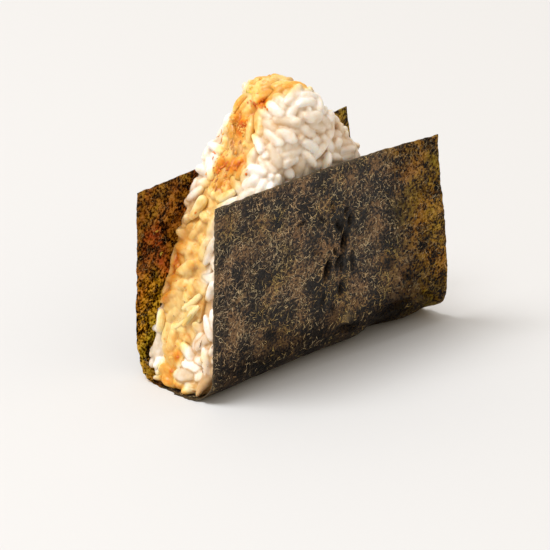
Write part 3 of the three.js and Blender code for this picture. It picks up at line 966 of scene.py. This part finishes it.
# Each dent: where it is along X and down from the front top edge, its length and width, its turn, its depth.
DENTS = (
    (5.0, 25.3, 4.0, 1.4, 101, 3.0), (-1.8, 33.1, 3.8, 1.2, 106, 3.2), (0.2, 12.8, 2.0, 0.8, 80, 1.2),
    (6.0, 15.8, 1.8, 0.8, 100, 1.2), (1.5, 27.9, 1.6, 0.8, 70, 1.4), (4.0, 33.3, 2.2, 0.8, 95, 1.3),
    (-3.9, 16.1, 3.6, 0.8, 43, 0.9), (-12.4, 15.2, 3.2, 0.8, -14, 0.8), (3.0, 20.0, 3.6, 1.3, 60, 1.2),
    (7.5, 19.0, 2.8, 1.2, 115, 1.2), (3.2, 31.0, 3.4, 1.3, 120, 1.3), (4.2, 41.0, 3.4, 1.3, 95, 1.4),
    (-6.5, 26.0, 3.8, 1.2, 35, 0.6), (1.0, 47.0, 3.0, 1.2, 70, 0.8), (8.5, 33.0, 5.0, 1.1, 85, 0.7),
    (-3.5, 43.0, 4.0, 1.1, 100, 0.7), (41.0, 53.0, 7.0, 1.6, 33, 1.5), (31.0, 44.0, 5.0, 1.3, 60, 0.6),
    (-24.0, 48.0, 5.0, 1.4, 20, 0.4), (-33.0, 22.0, 5.0, 1.4, 70, 0.4), (25.0, 64.0, 10.0, 13.0, 0, 2.2),
    (48.0, 67.0, 8.0, 12.0, 0, 2.0), (27.0, 54.0, 7.0, 1.6, -15, 1.3), (7.0, 55.2, 4.0, 1.7, 12, 1.7),
)
relief = 0.30 * cloud(flat, 16.0, 11) + 0.16 * cloud(flat, 5.0, 12) + 0.10 * cloud(flat, 2.0, 13)
relief += 0.05 * cloud(flat, 0.9, 14)
blotch_and_dent_shade = 0.6 * spot((flat_x - 23.8) / 3.2, (flat_down - 38.1) / 2.4)  # a dark blotch
crumple = np.zeros((COLUMNS, ROWS))
for x, down, size_long, size_wide, turn, dent_depth in DENTS:
    dx, dy = flat_x - x, flat_down - down
    c, s = math.cos(math.radians(turn)), math.sin(math.radians(turn))
    inside = ((dx * c + dy * s) / size_long) ** 2 + ((dy * c - dx * s) / size_wide) ** 2
    relief += dent_depth * (np.exp(-2.0 * inside) - 0.35 * np.exp(-0.5 * inside))
    # Painted shade in the hollow of each dent.
    blotch_and_dent_shade += 0.8 * dent_depth * np.exp(-2.5 * inside)
    crumple += 0.5 * dent_depth * np.exp(-(dx**2 + dy**2) / 30)
crumple = crumple.clip(0, 1)
underside = (1 - grid[:, :, 2] / 2.0).clip(0, 1)
flat_on_table = underside * np.where(relief > 0, smooth_step(grid[:, :, 1], -16.0, -8.0), 1.0)
relief = relief * (1 - flat_on_table) + 0.05 * flat_on_table
grid += grid_normals(grid) * relief[:, :, None]
print(f"relief from {relief.min():.1f} to {relief.max():.1f} mm")

# %% Ragged edges
edge = np.minimum(np.arange(ROWS), np.arange(ROWS)[::-1])[None, :]
side = np.minimum(np.arange(COLUMNS), np.arange(COLUMNS)[::-1])[:, None]
ragged = 0.35 * cloud(flat, 3.0, 21) + 0.25 * cloud(flat, 0.9, 22)
ragged *= 1 + 1.3 * (1 - grid[:, :, 2] / 8.0).clip(0, 1)
grid[:, :, 0] += ragged * np.exp(-side / 2.0) * np.sign(grid[:, :, 0])
down_fold = np.gradient(grid, axis=1)
down_fold /= np.linalg.norm(down_fold, axis=2, keepdims=True)
grid += down_fold * (cloud(flat, 2.4, 23) * 0.3 * np.exp(-edge / 2.0))[:, :, None]

# %% Close the sheet
inner = grid + grid_normals(grid) * NORI_THICKNESS
count = COLUMNS * ROWS
number = np.arange(count).reshape(COLUMNS, ROWS)


def cells(n):
    """The quads of a grid of point numbers."""
    return np.stack([n[:-1, :-1], n[1:, :-1], n[1:, 1:], n[:-1, 1:]], -1).reshape(-1, 4)


def rim(line):
    """The quads that join a line of the outer face to the same line of the inner face."""
    return np.stack([line[:-1], line[1:], line[1:] + count, line[:-1] + count], -1)


faces_out_and_in = [cells(number)[:, ::-1], cells(number + count)]
ends = [rim(number[0]), rim(number[-1])[:, ::-1]]
tops = [rim(number[:, 0])[:, ::-1], rim(number[:, -1])]
quads = np.concatenate(faces_out_and_in + ends + tops)

# %% [markdown]
# Five numbers go with each point of the sheet: how much painted highlight it has near a cut edge or on
# a ridge, how much painted shade a fold, a dent or a blotch gives it, how crumpled it is, how much light it
# lets through, and how brown that light comes out. The sheet is thinnest at its right end and at the back,
# and the back is the browner part.

# %% What the finish needs to know
# Painted highlights on ridges that stand out: place along X, down from the top edge, and size.
RIDGE_HIGHLIGHTS = ((6.8, 51.7, 2.2), (36.2, 49.2, 1.6), (40.2, 52.0, 1.6), (43.5, 54.5, 1.6), (32.1, 39.8, 0.9))
_, sheet_y, sheet_z = np.moveaxis(grid, -1, 0)
# Painted highlight along the cut edges and on the listed ridges, which stand out into the light.
edge_and_ridge_highlight = np.exp(-np.minimum(edge, side) / 1.2)
# Painted shade: darker where the sheet bends under the ball near the table and along a low band of the front,
# less at the left end and on the highlighted ridges.
low_band = smooth_step(flat_down + 4.0 * cloud(flat, 7.0, 16), 45.0, 56.0) * (sheet_y < -5)
painted_fold_shade = np.maximum(ramp(sheet_z, 9, 2), 0.95 * low_band)
painted_fold_shade = painted_fold_shade * (1 - 0.6 * np.exp(-np.arange(COLUMNS) / 4.0))[:, None]
for x, down, size in RIDGE_HIGHLIGHTS:
    ridge_highlight_here = spot((flat_x - x) / size, (flat_down - down) / size)
    edge_and_ridge_highlight = np.maximum(edge_and_ridge_highlight, 1.7 * ridge_highlight_here)
    painted_fold_shade = painted_fold_shade * (1 - 0.8 * ridge_highlight_here)
at_back = smooth_step(sheet_y, -6.0, 10.0)
to_right = smooth_step(flat_x + 6 * cloud(flat, 12.0, 15), 14.0, 40.0)
thin = np.maximum(at_back, to_right) * (1 - 0.4 * painted_fold_shade)
thin += 0.7 * at_back * smooth_step(-sheet_z, -38.0, -16.0)
brown = at_back * (1 - to_right) * smooth_step(sheet_z, 8, 36)
both_faces = {"edge": edge_and_ridge_highlight, "crumpled": crumple, "thin": thin, "brown": brown}
# The dark field is painted shade: of the folds, the dents and the blotch on the outer face, and a little of
# the folds on the inner face.
nori = new_piece(
    "nori_sheet",
    np.concatenate([grid.reshape(-1, 3), inner.reshape(-1, 3)]),
    quads,
    dark=np.concatenate([(0.9 * painted_fold_shade + blotch_and_dent_shade).clip(0, 1).ravel(), (0.3 * painted_fold_shade).ravel()]),
    **{field: np.tile(values.ravel(), 2) for field, values in both_faces.items()},
)
print("nori:", triangles_in(nori.data), "triangles")

# %% [markdown]
# Dried seaweed is a nearly black, slightly shiny leaf. Its pulp settles unevenly, so the ground is
# cloudy over 9 mm and gritty under 1 mm, and it leans to brown or olive over a centimetre or more. A
# simple dark finish would look like rubber. What makes it seaweed is that some light comes through: so
# a part of the surface is translucent, more where the sheet is thin, speckled like the sheet itself,
# and golden olive or reddish brown.

# %% Material: dried seaweed sheet
def dried_seaweed():
    """The finish of the sheet, from the five numbers that go with its points."""
    fields = ("edge", "dark", "crumpled", "thin", "brown")
    made, tree, place, edge_near, dark, crumpled, worn_thin, brown = material("Dried seaweed sheet", *fields)
    clouds = add(tree, "TexNoise", {"Vector": place, "Scale": scale_of(9.09), "Detail": 6.0})
    hue = add(tree, "TexNoise", {"Vector": place, "Scale": scale_of(14.3), "Detail": 5.0, "Distortion": 0.5})
    grit = add(tree, "TexNoise", {"Vector": place, "Scale": scale_of(0.769), "Detail": 3.0})
    grit_share = add(tree, "Math", (grit, 0.5), operation="SUBTRACT")
    mixed = add(tree, "Math", (grit_share, 0.95, clouds), operation="MULTIPLY_ADD")
    blacks = ((0.38, "#040301"), (0.47, "#18110A"), (0.55, "#3A2B1B"), (0.68, "#8A6A44"))
    ground = add(tree, "ValToRGB", {"Fac": mixed}, stops=blacks)
    tints = ((0.36, "#FBF4F0"), (0.48, "#FFFFFF"), (0.58, "#FFF8E4"), (0.66, "#F6EED0"))
    tint = add(tree, "ValToRGB", {"Fac": hue}, stops=tints)
    ground = add(tree, "Mix", {"Factor": 1.0, "A": ground, "B": tint}, **TINT)
    # Painted highlight: near cut edges and on ridges the ground turns pale brown.
    edge_highlight_share = add(tree, "Math", (edge_near, 0.5), operation="MULTIPLY")
    ground = add(tree, "Mix", {"Factor": edge_highlight_share, "A": ground, "B": linear("#7A6A4C")}, **BLEND)

    # In a crumple, thin creases run mostly up and down, with painted shade in them.
    stretched = add(tree, "Mapping", {"Vector": place, "Scale": (1.0, 1.0, 0.45)})
    in_creases = {"Vector": stretched, "Scale": scale_of(2.38), "Detail": 2.0, "Distortion": 1.2}
    creases = add(tree, "TexNoise", in_creases)
    off_crease = add(tree, "Math", (creases, 0.5), operation="SUBTRACT")
    off_crease = add(tree, "Math", (off_crease,), operation="ABSOLUTE")
    crease = add(tree, "MapRange", {"Value": off_crease, "From Max": 0.045, "To Min": 1.0, "To Max": 0.0})
    crease = add(tree, "Math", (crease, crumpled), operation="MULTIPLY")
    # Painted shade: creases, folds, dents and the blotch go nearly black.
    shade = add(tree, "Math", (crease, dark), operation="MAXIMUM")
    shade = add(tree, "Math", (shade, 0.88), operation="MULTIPLY")
    ground = add(tree, "Mix", {"Factor": shade, "A": ground, "B": linear("#0E0A07")}, **BLEND)

    height = add(tree, "Math", (crease, -0.8, mixed), operation="MULTIPLY_ADD")
    bump = add(tree, "Bump", {"Height": height, "Strength": 1.0, "Distance": 0.4 * MM})
    cloudy = {"Value": clouds, "From Min": 0.35, "From Max": 0.65}
    gloss = add(tree, "MapRange", {**cloudy, "To Min": 0.52, "To Max": 0.38})
    shine = add(tree, "MapRange", {"Value": dark, "To Min": 0.35, "To Max": 0.05})
    outside = {"Base Color": ground, "Roughness": gloss, "Specular IOR Level": shine, "Normal": bump}
    surface = add(tree, "BsdfPrincipled", outside)

    in_blots = {"Vector": place, "Scale": scale_of(3.85), "Detail": 8.0, "Roughness": 0.65}
    blots = add(tree, "TexNoise", in_blots)
    through = add(tree, "Math", (grit_share, 1.3, blots), operation="MULTIPLY_ADD")
    glows = ((0.32, "#20160A"), (0.45, "#8A7640"), (0.56, "#ECD884"), (0.7, "#FFFADC"))
    glow = add(tree, "ValToRGB", {"Fac": through}, stops=glows)
    olives = ((0.38, "#FADEAE"), (0.5, "#F6E4AC"), (0.62, "#E8E29E"))
    olive = add(tree, "ValToRGB", {"Fac": hue}, stops=olives)
    auburns = ((0.38, "#EEA488"), (0.48, "#F0C49C"), (0.58, "#EED49A"), (0.68, "#DADC90"))
    auburn = add(tree, "ValToRGB", {"Fac": hue}, stops=auburns)
    glow_tint = add(tree, "Mix", {"Factor": brown, "A": olive, "B": auburn}, **BLEND)
    glow = add(tree, "Mix", {"Factor": 1.0, "A": glow, "B": glow_tint}, **TINT)
    lets_through = add(tree, "BsdfTranslucent", {"Color": glow})
    share = add(tree, "MapRange", {"Value": worn_thin, "From Max": 1.4, "To Min": 0.06, "To Max": 0.98})
    both = add(tree, "MixShader", (share, surface, lets_through))
    add(tree, "OutputMaterial", {"Surface": both}, out=None)
    return made


belongs(nori, "nori", dried_seaweed(), "nori")

# %% [markdown]
# The felt of fibres lies on both faces: thousands of pale curled hairs, half a millimetre to 3 mm long.
# Real ones are as fine as silk, and these are drawn about a tenth of a millimetre wide, as coarse as
# they need to be to show. A pattern in the finish would blur them, so they are real strips. Each is an
# arc drawn on the flat sheet, and the sheet's grid then carries it round the fold. Few are bright: most
# are dull, and in the painted shade of a fold or a dent they are dimmed.

# %% Draw the fibres on the flat sheet
FIBRES, STATIONS = 48000, 3
fibre_length = np.exp(rng.normal(0.18, 0.42, (FIBRES, 1))).clip(0.4, 2.8)
luck = rng.uniform(0, 1, FIBRES)  # how bright and how stout each one is
fibre_width = (0.05 + 0.07 * luck**2)[:, None]
start = np.stack([rng.uniform(0, COLUMNS - 1, FIBRES), rng.uniform(0, ROWS - 1, FIBRES)], 1)
cell_size = np.array([SHEET_WIDTH / (COLUMNS - 1), sheet_length / (ROWS - 1)])
t = np.linspace(0, 1, STATIONS)[None, :]
heading = rng.uniform(0, 2 * math.pi, (FIBRES, 1))
curl, hook = rng.normal(0, 0.4, (FIBRES, 1)), rng.normal(0, 0.6, (FIBRES, 1))
heading = heading + curl * t * fibre_length + hook * t**2
step = fibre_length / (STATIONS - 1)
path = np.stack([np.cos(heading) * step, np.sin(heading) * step], 2).cumsum(1)
half_width = fibre_width * (1 - 0.6 * (2 * t - 1) ** 4) / 2
across = np.stack([-np.sin(heading), np.cos(heading)], 2) * half_width[:, :, None]
strip = np.stack([path + across, path - across], 2) / cell_size + start[:, None, None, :]
strip[..., 0] = strip[..., 0].clip(0.2, COLUMNS - 1.2)
strip[..., 1] = strip[..., 1].clip(0.2, ROWS - 1.2)
on_outside = rng.random(FIBRES) < 0.64  # more of them on the outer face, which shows more
lift = rng.uniform(0.02, 0.10, FIBRES)  # mm off the sheet, so that fibres cross over each other


# %% Carry them onto the fold
def on_sheet(surface, where):
    """Points of the sheet at fractional grid places."""
    i, j = where[..., 0].astype(int), where[..., 1].astype(int)
    a, b = (where[..., 0] - i)[..., None], (where[..., 1] - j)[..., None]
    near_row = surface[i, j] * (1 - a) + surface[i + 1, j] * a
    next_row = surface[i, j + 1] * (1 - a) + surface[i + 1, j + 1] * a
    return near_row * (1 - b) + next_row * b


def at_root(values):
    """A number that goes with the sheet, where each fibre starts."""
    return on_sheet(values[:, :, None], strip[:, 0, 0])[:, 0]


SKIN = 0.02  # mm between the sheet and the fibres on it
sheet_normals = grid_normals(grid)
outside_points = on_sheet(grid - sheet_normals * SKIN, strip)
inside_points = on_sheet(inner + sheet_normals * SKIN, strip)
up = on_sheet(sheet_normals, strip) * lift[:, None, None, None]
fibre_points = np.where(on_outside[:, None, None, None], outside_points - up, inside_points + up)

# %% How bright each fibre is
roots = on_sheet(flat, strip[:, 0, 0])
patchy = 0.7 * cloud(roots, 7.0, 31) + 0.8 * cloud(roots, 2.2, 32)
bright = (2.0 * luck**3 * (1 + 1.2 * patchy) + 0.35 * patchy).clip(0, 1)
bright += 0.8 * (at_root(edge_and_ridge_highlight) - 0.7).clip(0, 1)  # painted highlight on ridges and cut edges
# Painted shade: fibres are dimmed in folds, dents and the blotch, and a little in crumples.
dimmed = (luck < 0.9) * at_root(painted_fold_shade) + 2.4 * at_root(blotch_and_dent_shade) + 0.3 * at_root(crumple)
bright *= 1 - dimmed.clip(0, 1)
bright += 0.5 * np.exp(-start[:, 0] / 4.0) * (luck > 0.6)  # the left edge catches the light
first = np.arange(FIBRES)[:, None] * 2 * STATIONS + 2 * np.arange(STATIONS - 1)[None, :]
fibres = new_piece(
    "nori_fibres",
    fibre_points.reshape(-1, 3),
    np.stack([first, first + 1, first + 3, first + 2], -1).reshape(-1, 4),
    shade=np.repeat(bright.clip(0, 1), 2 * STATIONS),
    thin=np.repeat(at_root(thin), 2 * STATIONS),
)
print("fibres:", triangles_in(fibres.data), "triangles")


# %% Material: pale seaweed fibres
def seaweed_fibre():
    """A dried fibre, dull brown to pale straw. Where the sheet is thin, it passes the light on too."""
    made, tree, place, shade, worn_thin = material("Pale seaweed fibres", "shade", "thin")
    hue = add(tree, "TexNoise", {"Vector": place, "Scale": scale_of(14.3), "Detail": 5.0, "Distortion": 0.5})
    fine = add(tree, "TexNoise", {"Vector": place, "Scale": scale_of(0.4), "Detail": 2.0})
    share = add(tree, "Math", (fine, 0.5, shade), operation="MULTIPLY_ADD")
    straws = ((0.3, "#120B05"), (0.52, "#4F3A20"), (0.78, "#C4A068"), (1.0, "#FFE9B8"))
    colour = add(tree, "ValToRGB", {"Fac": share}, stops=straws)
    tints = ((0.38, "#FFF0E6"), (0.48, "#FFFFFF"), (0.58, "#FFF4D0"), (0.66, "#F4E8A8"))
    tint = add(tree, "ValToRGB", {"Fac": hue}, stops=tints)
    colour = add(tree, "Mix", {"Factor": 1.0, "A": colour, "B": tint}, **TINT)
    bump = add(tree, "Bump", {"Height": fine, "Strength": 0.4, "Distance": 0.1 * MM})
    surface = {"Base Color": colour, "Roughness": 0.45, "Specular IOR Level": 0.3, "Normal": bump}
    shader = add(tree, "BsdfPrincipled", surface)
    golden_light = add(tree, "Mix", {"Factor": 0.5, "A": colour, "B": linear("#FFE7A0")}, **BLEND)
    through = add(tree, "BsdfTranslucent", {"Color": golden_light})
    passes_on = add(tree, "MapRange", {"Value": worn_thin, "To Min": 0.0, "To Max": 0.6})
    both = add(tree, "MixShader", (passes_on, shader, through))
    add(tree, "OutputMaterial", {"Surface": both}, out=None)
    return made


belongs(fibres, "nori", seaweed_fibre(), "nori")

# %% [markdown]
# ## Table, light and camera
#
# The ball stands on a table of pale laminate, pressed with a matte plate: even, and without gloss. One
# large soft lamp hangs high up, to the left and a little behind the ball, so that the rim and the top
# are bright and the front wall stands in soft shade. A pale world fills the shade, warmer from low down,
# as from a wooden room.

# %% Table
bpy.ops.mesh.primitive_plane_add(size=8.0)
table = bpy.context.object
table.name = "table"
finish, tree, _ = material("Matte pale laminate")
shader = add(tree, "BsdfPrincipled", {"Base Color": linear("#D6DADF"), "Roughness": 0.85})
add(tree, "OutputMaterial", {"Surface": shader}, out=None)
table.data.materials.append(finish)

# %% Lamp
LAMP_SIDE, LAMP_WATTS = 1.4, 78.0
TO_LAMP = Vector((-0.44, 0.20, 0.87)).normalized()
lamp = in_scene("key", bpy.data.lights.new("key", "AREA"))
lamp.data.size = LAMP_SIDE
lamp.data.energy = LAMP_WATTS
lamp.data.color = linear("#FEFBF8")[:3]
lamp.location = Vector((0, 0, 0.04)) + TO_LAMP * 3.0
lamp.rotation_euler = TO_LAMP.to_track_quat("Z", "Y").to_euler()
print(f"a lamp {LAMP_SIDE} m wide, {lamp.location.z:.1f} m up")

# %% World
world = bpy.data.worlds.new("studio")
world.use_nodes = True
sky = world.node_tree
sky.nodes.clear()
direction = add(sky, "TexCoord", out="Generated")
upward = add(sky, "SeparateXYZ", {"Vector": direction}, out="Z")
room_colours = ((0.0, "#E8C496"), (0.35, "#EFDABC"), (0.8, "#F3ECE4"))
sky_colour = add(sky, "ValToRGB", {"Fac": upward}, stops=room_colours)
sky_light = add(sky, "Background", {"Color": sky_colour, "Strength": 0.8})
add(sky, "OutputWorld", {"Surface": sky_light}, out=None)
bpy.context.scene.world = world
bpy.context.scene.view_settings.view_transform = "Standard"

# %% Camera
SENSOR = 36.0
FOCAL_SHARE = 4800 / 550  # the focal length over the render's width: a long lens, far away
DOWNWARD, TURNED = 23.7, -43.5  # degrees
camera = in_scene("camera", bpy.data.cameras.new("camera"))
camera.data.sensor_width = SENSOR
camera.data.lens = SENSOR * FOCAL_SHARE
camera.data.clip_start = 0.1
camera.location = Vector((-930.3, -976.0, 614.8)) * MM
camera.rotation_euler = (math.radians(90 - DOWNWARD), 0.0, math.radians(TURNED))
bpy.context.scene.camera = camera
print(f"camera {camera.location.length:.2f} m away, lens {camera.data.lens:.0f} mm")
